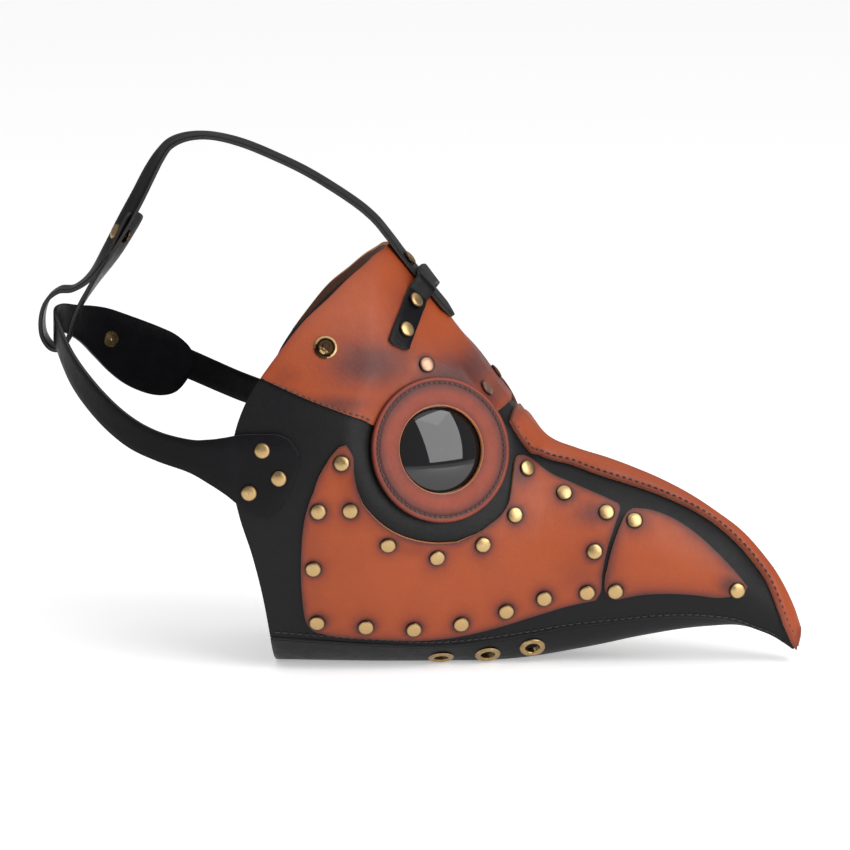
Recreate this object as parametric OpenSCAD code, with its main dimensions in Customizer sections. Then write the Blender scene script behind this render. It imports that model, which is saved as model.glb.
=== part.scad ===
// Plague doctor mask: stitched leather panels on a black leather body, with a long curved beak.
// Right and left are the wearer's. +X points along the beak, +Z is up and Y = 0 is the mirror plane.
// The body is one smooth skin, described at stations along X. Every panel is a patch of that skin.

/* [Leather] */
// Thickness of the black body panels
body_leather = 1.8; // [1.2:0.1:2.4]
// Thickness of the tan panels and the eye ring layers
tan_leather = 1.8; // [1.2:0.1:2.4]
// Thickness of the straps
strap_leather = 2.2; // [1.6:0.1:3]
// Air between two leather layers
layer_gap = 0.2; // [0.1:0.05:0.4]
// Glue and air between the black body and the tan panels
tan_gap = 0.4; // [0.3:0.05:0.6]

/* [Eye] */
// Forward position of the eye centre
eye_x = 14; // [5:0.5:25]
// Height of the eye centre
eye_z = 121.5; // [110:0.5:130]
// Distance of the eye plane's centre from the mirror plane
eye_y = 47; // [40:0.5:55]
// Turn of the eye towards the beak
eye_turn = 27; // [15:1:35]
// Upward tilt of the eye
eye_tilt = 14; // [5:1:20]
// Outer radius of the leather eye ring
ring_r = 39.5; // [36:0.5:43]
// Radius of the window through the eye ring
window_r = 23.7; // [20:0.1:27]
// Radius of the lens flange
lens_r = 28; // [26:0.5:30]
// Height of the lens dome above the body
dome_h = 7.5; // [5:0.5:10]

/* [Metal] */
// Radius of a double cap rivet
rivet_r = 4.5; // [3.5:0.1:5]
// Height of a rivet cap
cap_h = 1.9; // [1.2:0.1:2.5]
// Radius of a rivet stem
stem_r = 1.4; // [1:0.1:1.8]
// Radius of the snap stud's flange
snap_r = 6.2; // [5:0.1:7]
// Radius of the snap stud's head
stud_r = 2.1; // [1.8:0.1:2.5]
// Outer radius of a chin eyelet
eyelet_r = 7; // [5:0.5:8]
// Radius of the hole through a chin eyelet
eyelet_bore_r = 3.8; // [3:0.1:4.5]

/* [Straps] */
// Width of the top strap
strap_w = 15; // [12:0.5:20]
// Half the width of the keeper tab
keeper_half = 6.5; // [5:0.5:8]

/* [Hidden] */
$fn = 48;
sharp = 0.62;      // fullness of the upper section, from the widest line to the ridge
waist = 0.38;      // height of the widest line, as a share of the section's height
tuck = 0.76;       // half width at the bottom seam, as a share of the widest half width
low_angle = -60;   // skin angle of the bottom seam; the widest line is 0 and the ridge is 90
body = [-body_leather, 0];
tan_layer = [tan_gap, tan_gap + tan_leather];

// Stations of the skin: [x, bottom seam z, ridge z, widest half width, underside z].
// Behind x = -20 the ridge is only a guide, above the open rear edge.
stations = [
    [-100, 18.5, 259, 77, 0], [-76, 18.5, 252, 76, 0], [-50, 17, 241, 74, 0], [-32, 15.7, 232.8, 71.3, 0],
    [-20, 15, 225, 69, 0], [5, 13, 195.4, 60, 0], [21, 13, 175, 53.5, 0], [37, 14.5, 152.3, 48, 0],
    [52, 16.5, 134.1, 43, 1], [67, 19, 118.7, 39.5, 3], [83, 22, 112.1, 36.5, 6], [100, 24, 107.1, 33.5, 9.5],
    [115, 25.5, 101.8, 30.5, 13], [130, 27, 95.6, 27.5, 16], [145, 27.5, 87.9, 24, 18.5],
    [160, 26.5, 78.3, 20, 20], [172, 24.5, 69.2, 16.5, 20.5], [182, 20.5, 58.5, 13, 18.5],
    [193, 15.5, 43.7, 9, 13.5], [201, 9.5, 29, 6, 8], [206, 5, 14, 3.5, 4], [208.3, 2.6, 6, 2, 2]
];

// ---- Curves -------------------------------------------------------------------------------

// A value between p1 and p2 on a smooth curve that also heeds the points before and after them.
function between(p0, p1, p2, p3, t) =
    0.5 * (2 * p1 + (p2 - p0) * t + (2 * p0 - 5 * p1 + 4 * p2 - p3) * t * t
        + (3 * p1 - p0 - 3 * p2 + p3) * t * t * t);

// The point at share t of a smooth curve through a list of points.
function curve(points, t) =
    let (last = len(points) - 1, i = min(floor(t * last), last - 1))
    between(points[max(i - 1, 0)], points[i], points[i + 1], points[min(i + 2, last)], t * last - i);

function mix(a, b, t) = a + (b - a) * t;
function soften(t) = let (s = max(0, min(1, t))) s * s * (3 - 2 * s);
function unit(v) = v / norm(v);
function reversed(list) = [for (i = [len(list) - 1:-1:0]) list[i]];

// ---- Skin ---------------------------------------------------------------------------------

function slope_at(i, k) =
    let (a = max(i - 1, 0), b = min(i + 1, len(stations) - 1))
    (stations[b][k] - stations[a][k]) / (stations[b][0] - stations[a][0]);

// The station before x.
function before(x, i = 0) = i >= len(stations) - 2 || stations[i + 1][0] > x ? i : before(x, i + 1);

// Column k of the stations, read at x.
function section(x, k) =
    let (i = before(x), a = stations[i], b = stations[i + 1], h = b[0] - a[0], t = (x - a[0]) / h)
    (2 * t * t * t - 3 * t * t + 1) * a[k] + (t * t * t - 2 * t * t + t) * slope_at(i, k) * h
        + (3 * t * t - 2 * t * t * t) * b[k] + (t * t * t - t * t) * slope_at(i + 1, k) * h;

function waist_z(x) = mix(section(x, 1), section(x, 2), waist);

// The skin angle of a height, and the height of a skin angle.
function angle_of(x, z) =
    let (w = waist_z(x))
    z >= w ? asin(min((z - w) / (section(x, 2) - w), 1)) : low_angle * (w - z) / (w - section(x, 1));
function height_of(x, a) =
    let (w = waist_z(x))
    a >= 0 ? mix(w, section(x, 2), sin(a)) : mix(w, section(x, 1), a / low_angle);

// How much of the flat eye plane shows in the skin, from 0 to 1.
function eye_share(x, z, a) =
    let (r = norm([(x - eye_x) / cos(eye_turn), (z - eye_z) / cos(eye_tilt)]))
    soften((60 - r) / 20) * soften((88 - a) / 22);
function eye_plane(x, z) =
    eye_y - tan(eye_turn) * (x - eye_x) - tan(eye_tilt) / cos(eye_turn) * (z - eye_z);

function half_width(x, a) =
    let (z = height_of(x, a), w = section(x, 3))
    mix(a >= 0 ? w * pow(max(cos(a), 0), 2 * sharp) : w * (1 - (1 - tuck) * pow(a / low_angle, 2)),
        eye_plane(x, z), eye_share(x, z, a));

// A skin point: angles up to 90 are the right side, and angles from 90 to 240 are the left.
function skin(x, a) =
    a <= 90 ? [x, -half_width(x, a), height_of(x, a)]
        : [x, half_width(x, 180 - a), height_of(x, 180 - a)];
function normal(x, a) =
    unit(cross(skin(x + 0.3, a) - skin(x - 0.3, a), skin(x, a + 0.5) - skin(x, a - 0.5)));

// [x, z] points, seen from the side, as [x, angle] points of the right side or the left.
function right(points) = [for (p = points) [p[0], angle_of(p[0], p[1])]];
function left(points) = [for (p = right(points)) [p[0], 180 - p[1]]];

// ---- Shells -------------------------------------------------------------------------------

// A closed solid between two grids of points, seen with rows running to the right.
module shell(outer, inner) {
    rows = len(outer);
    cols = len(outer[0]);
    half = rows * cols;
    function at(i, j) = i * cols + j;
    rim = concat([for (i = [0:rows - 1]) at(i, 0)], [for (j = [1:cols - 1]) at(rows - 1, j)],
        [for (i = [rows - 2:-1:0]) at(i, cols - 1)], [for (j = [cols - 2:-1:1]) at(0, j)]);
    top = [for (i = [0:rows - 2], j = [0:cols - 2], s = [0, 1])
        s == 0 ? [at(i, j), at(i + 1, j + 1), at(i + 1, j)] : [at(i, j), at(i, j + 1), at(i + 1, j + 1)]];
    faces = concat(top, [for (f = top) [half + f[0], half + f[2], half + f[1]]],
        [for (k = [0:len(rim) - 1], s = [0, 1])
            let (p = rim[k], q = rim[(k + 1) % len(rim)])
            s == 0 ? [p, q, half + q] : [p, half + q, half + p]]);
    polyhedron([for (row = outer, p = row) p, for (row = inner, p = row) p], faces, 10);
}

// A leather patch of the skin between the curves low and high, both lists of [x, angle].
// start and finish, where given, bend its two end edges.
module patch(low, high, across, layer, steps = 3, start = [], finish = []) {
    n = steps * (len(low) - 1);
    grid = [for (i = [0:n]) [for (j = [0:across])
        let (u = i / n, v = j / across,
            p = mix(curve(low, u), curve(high, u), v),
            s = len(start) ? curve(start, v) - mix(low[0], high[0], v) : [0, 0],
            e = len(finish) ? curve(finish, v) - mix(low[len(low) - 1], high[len(high) - 1], v) : [0, 0])
        p + s * pow(1 - u, 4) + e * pow(u, 4)]];
    function off(p, d) =
        let (q = skin(p[0], p[1]) + normal(p[0], p[1]) * d)
        p[1] < 89.9 ? [q[0], min(q[1], -0.15), q[2]] : p[1] > 90.1 ? [q[0], max(q[1], 0.15), q[2]] : q;
    shell([for (row = grid) [for (p = row) off(p, layer[1])]],
        [for (row = grid) [for (p = row) off(p, layer[0])]]);
}

// Evenly spaced readings of a curve: [point, point a little before, point a little after].
function readings(line, per = 2) =
    let (n = per * (len(line) - 1))
    [for (i = [0:n])
        [curve(line, i / n), curve(line, max(0, (i - 0.5) / n)), curve(line, min(1, (i + 0.5) / n))]];

// A flat strap along stations [centre, half width direction, face direction].
module ribbon(rows, thick) {
    shell([for (r = rows) [r[0] - r[1] + r[2] * thick / 2, r[0] + r[1] + r[2] * thick / 2]],
        [for (r = rows) [r[0] - r[1] - r[2] * thick / 2, r[0] + r[1] - r[2] * thick / 2]]);
}

// ---- Placing ------------------------------------------------------------------------------

// Children stand on the point p, with +Z along the direction n.
module stand(p, n) {
    translate(p) rotate([0, acos(n[2] / norm(n)), atan2(n[1], n[0])]) children();
}
module on_skin(x, z, d = 0) {
    a = angle_of(x, z);
    n = normal(x, a);
    stand(skin(x, a) + n * d, n) children();
}
module at_eye() {
    translate([eye_x, -eye_y, eye_z]) rotate([0, 90 - eye_tilt, eye_turn - 90]) children();
}
module both_sides() {
    children();
    mirror([0, 1, 0]) children();
}

// A double cap rivet: +Z out, its outer cap resting at z = 0 and its inner cap under the stack.
module rivet(stack) {
    rotate_extrude() polygon(concat(
        [[0, cap_h]],
        [for (a = [75:-15:0]) [rivet_r * cos(a), 0.5 + (cap_h - 0.5) * sin(a)]],
        [[rivet_r - 0.4, 0], [stem_r, 0], [stem_r, -stack], [rivet_r - 0.4, -stack],
            [rivet_r - 0.2, -stack - 0.7], [0, -stack - 1]]));
}

// ---- Body panels --------------------------------------------------------------------------

ridge_x = [-19.6, -4, 10, 24, 38, 50, 60, 72, 90, 110, 130, 150, 168, 182, 193, 201, 205];
seam_x = [-46, -35, -22, -8, 7, 24, 40, 57, 76, 98, 120, 141, 160, 175, 187, 196, 203.5];
rear_edge = right([[-76, 18.5], [-79, 42], [-84, 66], [-90, 86], [-94, 104], [-95, 120], [-92.5, 136],
    [-87, 151], [-79.5, 163.5]]);
top_cut = right([[-79.5, 163.5], [-70, 176.7], [-58, 191.8], [-44.5, 204.1], [-31, 216]]);

module side_panel() {
    high = concat(top_cut, right([[-25.5, 220.7]]), [for (x = ridge_x) [x, 88.5]]);
    low = concat([for (i = [0:len(top_cut)]) [-76 + 5 * i, low_angle]], [for (x = seam_x) [x, low_angle]]);
    difference() {
        patch(low, high, 22, body, steps = 2, start = rear_edge);
        at_eye() translate([0, 0, -12]) cylinder(r = window_r + 0.5, h = 24);
    }
}
module side_panel_right() { color("#1d1c1e") side_panel(); }
module side_panel_left() { color("#1d1c1e") mirror([0, 1, 0]) side_panel(); }

// The underside, sewn to the bottom seam of both side panels.
chin_start = -76;
chin_end = 202.5;
function chin(x, v) =
    let (low = section(x, 4), rise = section(x, 1) - 0.4 - low)
    [x, v * section(x, 3) * tuck, low + rise * pow(max(0, abs(v) - 0.4) / 0.6, 2)];
function chin_normal(x, v) =
    unit(cross(chin(x, v + 0.01) - chin(x, v - 0.01), chin(x + 0.3, v) - chin(x - 0.3, v)));

// Round vents through the underside: [x, share of the half width].
eyelet_spots = [[14, 0.75], [39, 0.77], [63, 0.8]];
module at_eyelets() {
    for (p = eyelet_spots, s = [-1, 1])
        stand(chin(p[0], s * p[1]), chin_normal(p[0], s * p[1])) children();
}
module chin_panel() {
    n = 24;
    m = 16;
    grid = [for (i = [0:n]) [for (j = [m:-1:0]) [mix(chin_start, chin_end, i / n), -1 + 2 * j / m]]];
    function inner(p) =
        let (q = chin(p[0], p[1]) - chin_normal(p[0], p[1]) * body_leather)
        [q[0], q[1], min(q[2], section(q[0], 1) - 0.4)];
    color("#18171a") difference() {
        shell([for (row = grid) [for (p = row) chin(p[0], p[1])]],
            [for (row = grid) [for (p = row) inner(p)]]);
        at_eyelets() translate([0, 0, -5]) cylinder(r = eyelet_bore_r + 0.65, h = 10);
    }
}

// ---- Tan panels ---------------------------------------------------------------------------

// A curve of the right side, led over the ridge from its mirrored copy on the left.
function over_ridge(half) =
    concat([for (p = reversed(half)) [p[0], 180 - p[1]]], [for (i = [1:len(half) - 1]) half[i]]);

module forehead_panel() {
    rear = [[-31, 216], [-44.5, 204.1], [-58, 191.8], [-70, 176.7], [-79.5, 163.5]];
    arc_r = ring_r - 1.4;
    arc = [for (a = [42:28:154])
        [eye_x + arc_r * cos(a) * cos(eye_turn) - arc_r * sin(a) * sin(eye_turn) * sin(eye_tilt),
            eye_z + arc_r * sin(a) * cos(eye_tilt)]];
    rear_half = concat([[-19.6, 90]], right(concat([[-20.8, 223.4], [-25.5, 220.7]], rear)));
    seam = [[-27, 141.2], [-58, 153.5], [-77, 162]];
    front_half = concat([[47, 90]], right(concat([[43.5, 139.5]], arc, seam)));
    color("#b5562f") patch(over_ridge(rear_half), over_ridge(front_half), 16, tan_layer, steps = 3);
}

module ridge_binding() {
    edge = right([[49.8, 133], [60, 116.5], [66, 113], [82, 108], [98, 102.5], [117, 96.5], [132, 91],
        [145, 85], [159, 76.5], [171, 66.5], [180, 56.5], [188, 45], [194, 31], [198.3, 19.5],
        [202, 11.5], [204.8, 7.5]]);
    high = [for (p = edge) [p[0], 180 - p[1]]];
    color("#a34a2a") patch(edge, high, 10, tan_layer, steps = 3);
}

// The cheek panel wraps the lower half of the eye.
cheek_outer = [[-37, 126.5], [-43, 119], [-50, 104], [-55.5, 86], [-57.5, 65], [-57.5, 43], [-55, 27],
    [-45, 21.5], [-20, 19], [8, 17.5], [30, 20], [50, 25], [72, 32], [98, 38.5]];
cheek_inner = [[-33.5, 127.5], [-30, 121], [-29, 112], [-26, 101], [-20, 91], [-11, 82.5], [0, 76.5],
    [14, 73], [28, 74], [40, 79.5], [51, 91], [56, 115.5], [78.8, 101], [108.8, 88.6]];
cheek_end = [[98, 38.5], [101, 44], [101.8, 54], [104.2, 66], [107.5, 77], [110, 85.5], [108.8, 88.6]];
module cheek_panel() {
    patch(right(cheek_outer), right(cheek_inner), 8, tan_layer, steps = 3, finish = right(cheek_end));
}
module cheek_panel_right() { color("#b5562f") cheek_panel(); }
module cheek_panel_left() { color("#b5562f") mirror([0, 1, 0]) cheek_panel(); }

beak_low = [[108.5, 38.5], [122, 41], [136, 41.5], [150, 40.5], [164, 38.5], [176.5, 38.5]];
beak_high = [[117, 86], [127, 84.5], [140, 79], [153, 70], [166, 58], [178.2, 43.5]];
beak_start = [[108.5, 38.5], [103.5, 43], [103.4, 51], [106, 63], [110, 76], [113.3, 83.5], [117, 86]];
module beak_panel() {
    patch(right(beak_low), right(beak_high), 8, tan_layer, steps = 3, start = right(beak_start));
}
module beak_panel_right() { color("#b5562f") beak_panel(); }
module beak_panel_left() { color("#b5562f") mirror([0, 1, 0]) beak_panel(); }

// ---- Eyes ---------------------------------------------------------------------------------

spacer_h = tan_layer[1] + 0.1;
module eye_spacer() {
    at_eye() rotate_extrude() translate([lens_r + 0.3, layer_gap])
        square([ring_r - 4.2 - lens_r, spacer_h - layer_gap]);
}
module eye_spacer_right() { color("#1d1c1e") eye_spacer(); }
module eye_spacer_left() { color("#1d1c1e") mirror([0, 1, 0]) eye_spacer(); }

// A round window with a flat flange, held between the body and the ring.
module lens() {
    dome_r = window_r - 0.4;
    rise = dome_h - spacer_h;
    ball_r = (dome_r * dome_r + rise * rise) / (2 * rise);
    at_eye() {
        translate([0, 0, layer_gap]) cylinder(r = lens_r, h = spacer_h - 2 * layer_gap);
        intersection() {
            translate([0, 0, dome_h - ball_r]) sphere(r = ball_r, $fn = 96);
            translate([0, 0, layer_gap]) cylinder(r = dome_r, h = dome_h);
        }
    }
}
module lens_right() { color("#0b0b0d") lens(); }
module lens_left() { color("#0b0b0d") mirror([0, 1, 0]) lens(); }

ring_h = 3;
module eye_ring() {
    low = spacer_h + layer_gap;
    at_eye() rotate_extrude() polygon([[window_r, low], [ring_r, low], [ring_r, low + ring_h - 0.6],
        [ring_r - 0.3, low + ring_h - 0.15], [ring_r - 0.8, low + ring_h], [window_r + 0.8, low + ring_h],
        [window_r + 0.3, low + ring_h - 0.15], [window_r, low + ring_h - 0.6]]);
}
module eye_ring_right() { color("#8a3f28") eye_ring(); }
module eye_ring_left() { color("#8a3f28") mirror([0, 1, 0]) eye_ring(); }

// ---- Rivets, studs and eyelets ------------------------------------------------------------

tan_stack = body_leather + tan_layer[1] + 0.1;
cheek_rivet_spots = [[-35.5, 118], [-48, 92], [-30.5, 92.5], [-11, 73.5], [-51, 60], [-50, 29],
    [-24, 26.5], [1, 24.5], [26, 26.5], [50, 33], [70.5, 40], [93.5, 43], [97.5, 65], [103, 84.5],
    [80, 94.5], [58.9, 108], [54.5, 85], [38, 70.5], [14, 65]];
beak_rivet_spots = [[118, 80], [108.5, 43.5], [173, 42]];
module skin_rivets(spots) {
    for (p = spots) on_skin(p[0], p[1], tan_layer[1] + 0.05) rivet(tan_stack);
}
module cheek_rivets_right() { color("#a8854a") skin_rivets(cheek_rivet_spots); }
module cheek_rivets_left() { color("#a8854a") mirror([0, 1, 0]) skin_rivets(cheek_rivet_spots); }
module beak_rivets_right() { color("#a8854a") skin_rivets(beak_rivet_spots); }
module beak_rivets_left() { color("#a8854a") mirror([0, 1, 0]) skin_rivets(beak_rivet_spots); }
module forehead_rivets() { color("#7a5236") both_sides() skin_rivets([[6, 166], [35.8, 150.3]]); }

// A male snap: a wide flange with a waisted stud.
module snap_stud(stack) {
    rotate_extrude() polygon([[0, 4], [stud_r - 0.5, 4], [stud_r, 3.4], [stud_r, 1.2], [snap_r - 2.4, 1.2],
        [snap_r - 1.8, 0.7], [snap_r - 1, 1.3], [snap_r, 0.8], [snap_r, 0], [stem_r, 0], [stem_r, -stack],
        [snap_r - 1, -stack], [snap_r - 1, -stack - 0.8], [0, -stack - 0.8]]);
}
module forehead_snap_studs() {
    color("#8f6f42") both_sides() on_skin(-46, 178.3, tan_layer[1] + 0.05) snap_stud(tan_stack);
}

module chin_eyelets() {
    under = -body_leather - 0.05;
    color("#a8854a") at_eyelets() rotate_extrude()
        polygon([[eyelet_bore_r, under - 0.75], [eyelet_r - 1, under - 0.75], [eyelet_r - 1, under],
            [eyelet_bore_r + 0.6, under], [eyelet_bore_r + 0.6, 0.05], [eyelet_r, 0.05], [eyelet_r - 0.3, 0.5],
            [eyelet_r - 1.6, 0.9], [eyelet_bore_r + 0.4, 0.7], [eyelet_bore_r, 0.2]]);
}

// ---- Top strap ----------------------------------------------------------------------------

ridge_normal = [0.76, 0, 0.65];
strap_lift = tan_layer[1] + strap_leather / 2;
pivot = [-10.6, 0, section(-10.6, 2)] + ridge_normal * strap_lift;

// Centre line [x, z, twist]: up the forehead, over the crown, down to the loop and back up as a tail.
// Its hand-cut edges wander a little.
top_line = [[17, 186.7, 0], [9.95, 195.35, 0], [1.75, 205.15, 0], [-6.55, 215.15, 0], [-11.9, 222, 0],
    [-18.4, 230.6, 0], [-26.7, 240.3, 0], [-39, 250, 0], [-61, 263.5, 0], [-80, 272.5, 0], [-98, 279.5, 0],
    [-114, 283, 0], [-127, 282.5, 4], [-137, 278.5, 12], [-143, 271.5, 20], [-148.5, 262, 26],
    [-155, 249, 28], [-163, 234, 28], [-172, 218, 20], [-181, 204.5, 8], [-190, 197.6, 0],
    [-198, 196.4, 0], [-204.5, 191, 0], [-207.5, 182, 0], [-207, 172, 0], [-202.5, 165.2, 0],
    [-196.5, 164.8, 0], [-192.8, 170.5, 0], [-190.5, 179, 0], [-186.5, 188.5, 2], [-179, 200.7, 8],
    [-168.8, 216.2, 20], [-159.9, 232.2, 28], [-155.7, 240.1, 28]];
module top_strap() {
    marks = readings(top_line);
    last = len(marks) - 1;
    rows = [for (i = [0:last])
        let (p = marks[i][0], run = marks[i][2] - marks[i][1], t = unit([run[0], 0, run[1]]),
            face = [t[2], 0, -t[0]], side = [0, 1, 0],
            end = i == 0 ? 0.25 : i == last ? 0.5 : i == 1 || i == last - 1 ? 0.8 : 1)
        [[p[0], 0, p[1]], (side * cos(p[2]) + face * sin(p[2])) * (strap_w / 2 + 0.06 * sin(97 * i)) * end,
            face * cos(p[2]) - side * sin(p[2])]];
    color("#201f21") difference() {
        ribbon(reversed(rows), strap_leather);
        stand(pivot - ridge_normal * 5, ridge_normal) cylinder(r = stem_r + 0.2, h = 10);
    }
}
module top_strap_rivet() {
    color("#a8854a") stand(pivot + ridge_normal * (strap_leather / 2 + 0.6), ridge_normal)
        rivet(strap_leather + tan_stack + 0.85);
}
module loop_rivet() {
    color("#a8854a") stand([-165.9, -1.2, 228.9], [-0.78, -0.47, 0.41]) translate([0, 0, 1.2])
        rivet(2 * strap_leather + 1.6);
}

// The keeper tab crosses the ridge over the top strap and is riveted down on both sides.
keeper_line = [[-9.6, 176, 3], [-8.8, 179.8, keeper_half - 0.3], [-7.4, 184.4, keeper_half],
    [-5.6, 190, keeper_half], [-4.2, 195, keeper_half], [-3.2, 198.8, keeper_half]];

// The tab lies on the forehead at its ends, and bridges flat across the strap in the middle.
function bridge_at(p) = soften((16 - abs(skin(p[0], p[1])[1])) / 5);
function keeper_spot(p) =
    let (c = skin(p[0], p[1]), bridge = bridge_at(p),
        drop = (skin(p[0], 90) - c) * ridge_normal)
    c + normal(p[0], p[1]) * (tan_layer[1] + layer_gap + strap_leather / 2)
        + ridge_normal * (strap_leather + 5 * layer_gap + drop) * bridge;
module strap_keeper() {
    half = [for (p = keeper_line) [p[0], angle_of(p[0], p[1]), p[2]]];
    line = concat(half, [[-2.4, 90, keeper_half]], [for (p = reversed(half)) [p[0], 180 - p[1], p[2]]]);
    rows = [for (mark = readings(line, 3))
        let (p = mark[0], t = unit(keeper_spot(mark[2]) - keeper_spot(mark[1])),
            up = mix(normal(p[0], p[1]), ridge_normal, bridge_at(p)), face = unit(up - t * (up * t)))
        [keeper_spot(p), cross(t, face) * p[2], face]];
    color("#1d1c1e") ribbon(reversed(rows), strap_leather);
}
module keeper_rivets() {
    color("#a8854a") both_sides() {
        on_skin(-6.9, 183.8, tan_layer[1] + plate_top) rivet(tan_stack + plate_top);
        on_skin(-4.3, 196.4, tan_layer[1] + plate_top + 0.6) rivet(tan_stack + plate_top + 0.6);
    }
}

// ---- Head strap ---------------------------------------------------------------------------

plate_lift = layer_gap + strap_leather / 2;
plate_top = layer_gap + strap_leather + 0.05;
function plate_y(x, z) = half_width(x, angle_of(x, z)) + plate_lift;

// Stations of a strap that stands on edge: line is a list of [x, y, z, half height].
function level_rows(line) =
    [for (mark = readings(line))
        let (p = mark[0], run = mark[2] - mark[1], t = unit([run[0], run[1], 0]))
        [[p[0], p[1], p[2]], [0, 0, p[3]], [t[1], -t[0], 0]]];

// [x, y, z, half height]: riveted plate on the right, round the back, and the rounded plate on the left.
head_line = concat(
    [for (p = [[-58, 120, 3], [-60, 119, 8], [-64, 116, 15.5], [-70, 112.5, 21.5], [-76, 111, 23],
        [-82, 112, 22], [-90, 114, 19.5]]) [p[0], -plate_y(p[0], p[1]), p[1], p[2]]],
    [[-98, -78.6, 116.5, 15.5], [-107, -77.6, 118.5, 12], [-118, -75.5, 121, 9], [-136, -70, 125, 8.2],
        [-153, -61.5, 131.5, 8.8], [-170, -49.5, 143, 9.2], [-186, -33, 158, 9], [-196.5, -16, 173.2, 7.9],
        [-200.3, 0, 178, 7.8], [-198, 15, 178, 8], [-191, 27.5, 173, 10], [-184, 36.5, 167, 14],
        [-177, 43.5, 161, 17.5], [-169, 50, 155, 19.5], [-160, 56, 150, 20], [-151, 60.8, 146.5, 19],
        [-143, 64.3, 145, 16], [-137, 66.6, 145.5, 10], [-134, 67.6, 147, 4]]);
module head_strap() {
    color("#201f21") ribbon(level_rows(reversed(head_line)), strap_leather);
}
module head_strap_rivets() {
    color("#a8854a") for (p = [[-78, 125], [-69, 110], [-85, 102]])
        on_skin(p[0], p[1], plate_top + 0.15) rivet(body_leather + plate_top + 0.3);
}

// ---- Closure on the left side -------------------------------------------------------------

// The strap bends on its outer face, just behind the side panel's edge, where the anchor ends.
anchor_line = concat(
    [for (p = [[-70, 119, 4], [-72, 119.5, 6.8], [-76, 120.3, 8], [-84, 122.3, 8], [-92, 124.4, 8]])
        [p[0], plate_y(p[0], p[1]) + 0.25, p[1], p[2]]],
    [[-97.8, 79.6, 126, 8]]);
closure_line = [[-98.6, 79.5, 126.2, 8], [-110, 78.6, 130.5, 8.2], [-122, 76.2, 136, 8.4],
    [-134, 72.4, 142, 8.5], [-146, 67.4, 148, 8.5], [-158, 61.6, 153.5, 8.5], [-168, 55.6, 158, 8.4],
    [-177, 48.8, 162, 8], [-182, 44.4, 164, 6.5], [-184.5, 42, 165, 3.5]];
module closure_anchor() { color("#201f21") ribbon(level_rows(anchor_line), strap_leather); }
module closure_rivets() {
    color("#a8854a") mirror([0, 1, 0]) for (p = [[-76, 120.3], [-87, 123]])
        on_skin(p[0], p[1], plate_top + 0.4) rivet(body_leather + plate_top + 0.55);
}
module closure_strap() { color("#201f21") ribbon(level_rows(closure_line), strap_leather); }

// The stud stands on the rounded plate and clicks into the socket on the closure strap.
snap_at = [-176.4, 44, 161.5];
snap_dir = [-0.6, 0.8, 0];
module closure_stud() {
    color("#8f6f42") stand(snap_at + snap_dir * 1.2, snap_dir) rotate_extrude()
        polygon([[0, 1.5], [1.6, 1.5], [2, 1.2], [2, 0.5], [4.5, 0.5], [4.5, 0], [stem_r, 0],
            [stem_r, -2.5], [4.5, -2.5], [4.2, -3.3], [0, -3.5]]);
}
module closure_socket() {
    color("#a8854a") stand(snap_at + snap_dir * 1.2, snap_dir) rotate_extrude()
        polygon([[3, 0.8], [5, 0.8], [5, 1.6], [stem_r, 3.4]]);
}

side_panel_right();
side_panel_left();
chin_panel();
forehead_panel();
ridge_binding();
eye_spacer_right();
eye_spacer_left();
lens_right();
lens_left();
eye_ring_right();
eye_ring_left();
cheek_panel_right();
cheek_panel_left();
beak_panel_right();
beak_panel_left();
cheek_rivets_right();
cheek_rivets_left();
beak_rivets_right();
beak_rivets_left();
forehead_rivets();
forehead_snap_studs();
chin_eyelets();
strap_keeper();
keeper_rivets();
top_strap();
top_strap_rivet();
loop_rivet();
head_strap();
head_strap_rivets();
closure_anchor();
closure_rivets();
closure_strap();
closure_stud();
closure_socket();
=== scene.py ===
import math

import bmesh
import bpy
import numpy as np
from mathutils import Matrix, Vector
from mathutils.kdtree import KDTree


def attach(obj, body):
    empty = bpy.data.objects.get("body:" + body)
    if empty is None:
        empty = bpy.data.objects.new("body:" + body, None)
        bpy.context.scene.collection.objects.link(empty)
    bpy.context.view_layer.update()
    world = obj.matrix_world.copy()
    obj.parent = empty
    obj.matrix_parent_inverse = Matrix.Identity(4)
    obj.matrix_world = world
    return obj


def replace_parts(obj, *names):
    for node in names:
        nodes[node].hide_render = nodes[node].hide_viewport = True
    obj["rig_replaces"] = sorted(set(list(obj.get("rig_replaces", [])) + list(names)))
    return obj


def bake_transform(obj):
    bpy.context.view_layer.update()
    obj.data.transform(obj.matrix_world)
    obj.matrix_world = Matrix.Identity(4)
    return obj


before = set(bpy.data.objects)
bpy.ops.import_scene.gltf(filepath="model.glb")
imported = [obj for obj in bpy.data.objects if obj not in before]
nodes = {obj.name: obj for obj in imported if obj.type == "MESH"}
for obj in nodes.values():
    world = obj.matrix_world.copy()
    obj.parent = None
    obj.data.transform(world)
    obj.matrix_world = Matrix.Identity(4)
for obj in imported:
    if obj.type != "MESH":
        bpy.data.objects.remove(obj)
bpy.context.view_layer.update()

MM = 0.001
SIDES = {"right": -1, "left": 1}

# ---- The skin of the mask, in millimetres, as the CAD part describes it -----------------------

BODY_LEATHER = 1.8
TAN_LAYER = (0.15, 2.2)
STRAP_LEATHER = 2.2
EYE = np.array([14.0, 47.0, 121.5])
EYE_TURN = math.radians(27)
EYE_TILT = math.radians(14)
SHARP = 0.62
WAIST = 0.38
TUCK = 0.76
LOW_ANGLE = -60

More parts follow.
